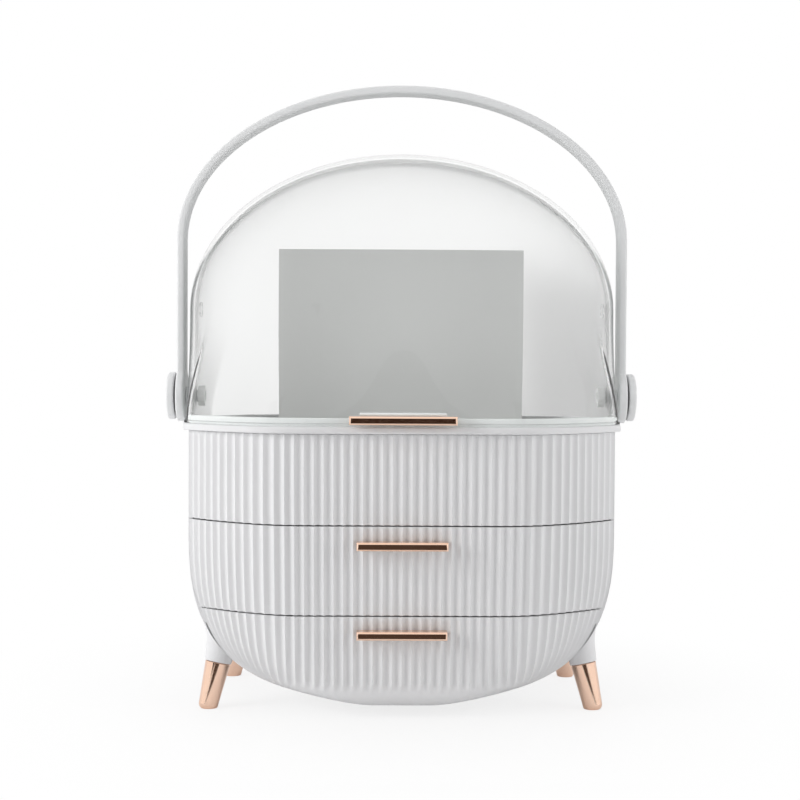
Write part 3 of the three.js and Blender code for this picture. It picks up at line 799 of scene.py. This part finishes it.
def let_light_through(nodes, links, shader, colour):
    """Lamps and bounced light pass straight through the wall and light what is inside."""
    path = nodes.new("ShaderNodeLightPath")
    through = nodes.new("ShaderNodeBsdfTransparent")
    through.inputs["Color"].default_value = (*colour, 1)
    lit = any_of(nodes, links, path.outputs["Is Shadow Ray"], path.outputs["Is Diffuse Ray"])
    mix_at_output(nodes, links, lit, shader.outputs["BSDF"], through.outputs["BSDF"])


def clear_plastic():
    """Polished clear plastic that lets the lamps through to what is under it."""
    material, nodes, links, shader = start_material("clear_polished_plastic")
    shader.inputs["Transmission Weight"].default_value = 1
    shader.inputs["IOR"].default_value = 1.36
    shader.inputs["Metallic"].default_value = 0
    haze = add_noise(nodes, links, 24)
    vary_colour(nodes, links, shader, haze, (0.994, 0.998, 0.996), (0.999, 1, 0.999))
    vary_roughness(nodes, links, shader, haze, 0, 0.02)
    let_light_through(nodes, links, shader, (0.97, 0.975, 0.975))
    return material


def edge_plastic():
    """Clear plastic seen along its edge: faintly green, with painted light: its pale, nearly opaque colour
    stands for the light the clear edge catches.
    """
    material, nodes, links, shader = start_material("clear_edge_painted_light")
    streak = add_noise(nodes, links, 60, 3)
    vary_colour(nodes, links, shader, streak, (0.97, 0.985, 0.98), (0.93, 0.96, 0.945))
    vary_roughness(nodes, links, shader, streak, 0.1, 0.2)
    shader.inputs["Transmission Weight"].default_value = 0.1
    shader.inputs["Metallic"].default_value = 0
    return material


def frosted_plastic():
    """The rear dome's thin white plastic, which lets some of the light behind it through."""
    material, nodes, links, shader = start_material("frosted_white_plastic")
    shader.inputs["Transmission Weight"].default_value = 0.96
    shader.inputs["IOR"].default_value = 1.25
    shader.inputs["Metallic"].default_value = 0
    vary_colour(nodes, links, shader, add_noise(nodes, links, 18, 4), (0.999, 1, 0.999), (0.99, 0.993, 0.99))
    vary_roughness(nodes, links, shader, add_noise(nodes, links, 1400), 0.3, 0.4)
    let_light_through(nodes, links, shader, (0.75, 0.755, 0.75))
    return material


def dress_node(name, material):
    for slot in frame["nodes"][name].material_slots:
        slot.material = material


# Stage, light and camera

def floor_material():
    """White to the eye, with the object's shadow near it."""
    material, nodes, links, shader = start_material("studio_floor")
    shader.inputs["Base Color"].default_value = (0.95, 0.95, 0.95, 1)
    shader.inputs["Roughness"].default_value = 0.6
    place = nodes.new("ShaderNodeTexCoord")
    length = nodes.new("ShaderNodeVectorMath")
    length.operation = "LENGTH"
    links.new(place.outputs["Object"], length.inputs[0])
    far = nodes.new("ShaderNodeMapRange")
    far.interpolation_type = "SMOOTHSTEP"
    far.inputs["From Min"].default_value = 0.1
    far.inputs["From Max"].default_value = 0.36
    far.inputs["To Min"].default_value = 0.8
    links.new(length.outputs["Value"], far.inputs["Value"])
    path = nodes.new("ShaderNodeLightPath")
    seen = nodes.new("ShaderNodeMath")
    seen.operation = "MULTIPLY"
    links.new(far.outputs["Result"], seen.inputs[0])
    links.new(path.outputs["Is Camera Ray"], seen.inputs[1])
    white = nodes.new("ShaderNodeEmission")
    mix_at_output(nodes, links, seen.outputs["Value"], shader.outputs["BSDF"], white.outputs["Emission"])
    return material


def card_material(name, colour):
    material, nodes, links, shader = start_material(name)
    shader.inputs["Base Color"].default_value = (*colour, 1)
    shader.inputs["Roughness"].default_value = 1
    return material


def stage_card(name, low, high, material):
    """A rectangle between two opposite corners, lying flat or standing across the view."""
    bm = bmesh.new()
    bmesh.ops.create_grid(bm, x_segments=1, y_segments=1, size=1)
    for vert in bm.verts:
        shares = ((vert.co.x + 1) / 2, (vert.co.y + 1) / 2, (vert.co.y + 1) / 2)
        vert.co = [a + (b - a) * share for a, b, share in zip(low, high, shares)]
    mesh = bpy.data.meshes.new(name)
    bm.to_mesh(mesh)
    bm.free()
    card = bpy.data.objects.new(name, mesh)
    bpy.context.scene.collection.objects.link(card)
    mesh.materials.append(material)
    return card


def dark_cards():
    """Cards seen only in reflections: they darken the pulls' faces and draw the stripes on the legs' tips."""
    near, away, half, tall, lift = -0.24, -1.9, 0.6, 0.24, 0.0008
    dark = card_material("dark_brown_card", (0.028, 0.011, 0.003))
    cards = [
        stage_card("dark_card_floor", (-half, away, lift), (half, near, lift), dark),
        stage_card("dark_card_wall", (-half, away, lift), (half, away, tall), dark),
        stage_card("dark_strip_left", (-0.38, -0.38, 0.03), (-0.24, -0.38, 0.32), dark),
        stage_card("dark_strip_right", (0.18, -0.40, 0.05), (0.26, -0.40, 0.30), dark),
    ]
    for card in cards:
        card.visible_camera = card.visible_diffuse = card.visible_shadow = card.visible_transmission = False


def pale_card():
    """A card behind that shades the right of the dome, seen only through it."""
    card = stage_card("pale_card_behind", (0.17, 0.9, 0), (1.3, 0.9, 0.38),
                      card_material("pale_card", (0.55, 0.55, 0.55)))
    card.visible_camera = card.visible_diffuse = card.visible_glossy = card.visible_shadow = False


def stage():
    reach = 3.0
    stage_card("floor", (-reach, -reach, 0), (reach, reach, 0), floor_material())
    dark_cards()
    pale_card()


def world():
    """White all round to the eye; as light, dimmer from the camera's side."""
    made = bpy.data.worlds.new("studio")
    bpy.context.scene.world = made
    made.use_nodes = True
    nodes, links = made.node_tree.nodes, made.node_tree.links
    glow = nodes["Background"]
    place = nodes.new("ShaderNodeTexCoord")
    axes = nodes.new("ShaderNodeSeparateXYZ")
    links.new(place.outputs["Generated"], axes.inputs["Vector"])
    dimmer = nodes.new("ShaderNodeMapRange")
    dimmer.interpolation_type = "SMOOTHSTEP"
    dimmer.inputs["From Min"].default_value = -0.95
    dimmer.inputs["From Max"].default_value = -0.1
    dimmer.inputs["To Min"].default_value = 0.27
    dimmer.inputs["To Max"].default_value = 0.58
    links.new(axes.outputs["Y"], dimmer.inputs["Value"])
    glow.inputs["Color"].default_value = (1, 1, 1, 1)
    links.new(dimmer.outputs["Result"], glow.inputs["Strength"])
    white = nodes.new("ShaderNodeBackground")
    white.inputs["Color"].default_value = (1, 1, 1, 1)
    path = nodes.new("ShaderNodeLightPath")
    seen = any_of(nodes, links, path.outputs["Is Camera Ray"], path.outputs["Is Glossy Ray"],
                  path.outputs["Is Transmission Ray"])
    mix_at_output(nodes, links, seen, glow.outputs["Background"], white.outputs["Background"], "World Output")


def lamp(name, place, target, size, power):
    data = bpy.data.lights.new(name, "AREA")
    data.shape = "SQUARE"
    data.size = size
    data.energy = power
    light = bpy.data.objects.new(name, data)
    bpy.context.scene.collection.objects.link(light)
    light.location = place
    light.rotation_euler = (Vector(target) - Vector(place)).to_track_quat("-Z", "Y").to_euler()
    light.visible_glossy = False
    light.visible_transmission = False


def lights():
    middle = (0, 0, 0.2)
    lamp("key_lamp", (-1.7, -0.75, 0.8), middle, 1.0, 20)
    lamp("fill_lamp", (1.7, -0.6, 0.6), middle, 1.0, 10)
    lamp("top_lamp", (0, 0.2, 1.7), middle, 1.0, 5)


def camera():
    """The photograph's view."""
    image_side, focal_pixels, sensor = 800, 1495, 36
    place = (-0.0121, -1.108, 0.2449)
    tilt, roll, turn = math.radians(1.415), math.radians(0.3), math.radians(-0.567)
    data = bpy.data.cameras.new("photo_camera")
    data.sensor_width = sensor
    data.lens = focal_pixels / image_side * sensor
    view = bpy.data.objects.new("photo_camera", data)
    bpy.context.scene.collection.objects.link(view)
    view.location = place
    upright = Matrix.Rotation(math.pi / 2 - tilt, 4, "X")
    aim = Matrix.Rotation(turn, 4, "Z") @ upright @ Matrix.Rotation(roll, 4, "Z")
    view.rotation_euler = aim.to_euler()
    bpy.context.scene.camera = view
    bpy.context.scene.view_settings.view_transform = "Standard"


def build():
    grain = moulded_group()
    white = moulded_plastic("white_moulded_plastic", grain,
                            (0.80, 0.80, 0.81), (0.765, 0.765, 0.775), (0.36, 0.46))
    inner = moulded_plastic("inner_white_moulded_plastic", grain,
                            (0.86, 0.865, 0.855), (0.83, 0.835, 0.825), (0.42, 0.52))
    grey = moulded_plastic("pale_grey_satin_plastic", grain,
                           (0.80, 0.805, 0.81), (0.77, 0.775, 0.78), (0.48, 0.55), grain_scale=300, bump=0)
    # The washers' near-black colour is painted shade: it stands for the shadow in the narrow gap between each
    # knob and the strap
    dark = moulded_plastic("washer_painted_gap_shade", grain,
                           (0.035, 0.035, 0.038), (0.028, 0.028, 0.03), (0.45, 0.6))
    rose_gold = plated_rose_gold()
    clear = clear_plastic()
    case_pieces(white, inner)
    drawer_pieces(white, inner)
    divider_pieces(inner)
    rear_dome_piece(frosted_plastic())
    lid_piece(clear)
    # The lid's foot band and tab take a pale colour that is painted light, standing for the light a clear
    # edge catches
    edge_painted_light = edge_plastic()
    lid_foot_piece(edge_painted_light)
    lid_lip_piece(edge_painted_light)
    pull_pieces(rose_gold)
    bow_piece(grey)
    knob_pieces(grey)
    leg_pieces(white, rose_gold)
    dress_node("middle_deck", inner)
    for side in ("left", "right"):
        dress_node(f"handle_nut_{side}", inner)
        dress_node(f"handle_spacer_{side}", grey)
        # Each washer carries the painted shade of the gap between knob and strap
        dress_node(f"handle_washer_{side}", dark)
        dress_node(f"lid_pin_{side}", clear)


camera()
build()
stage()
world()
lights()
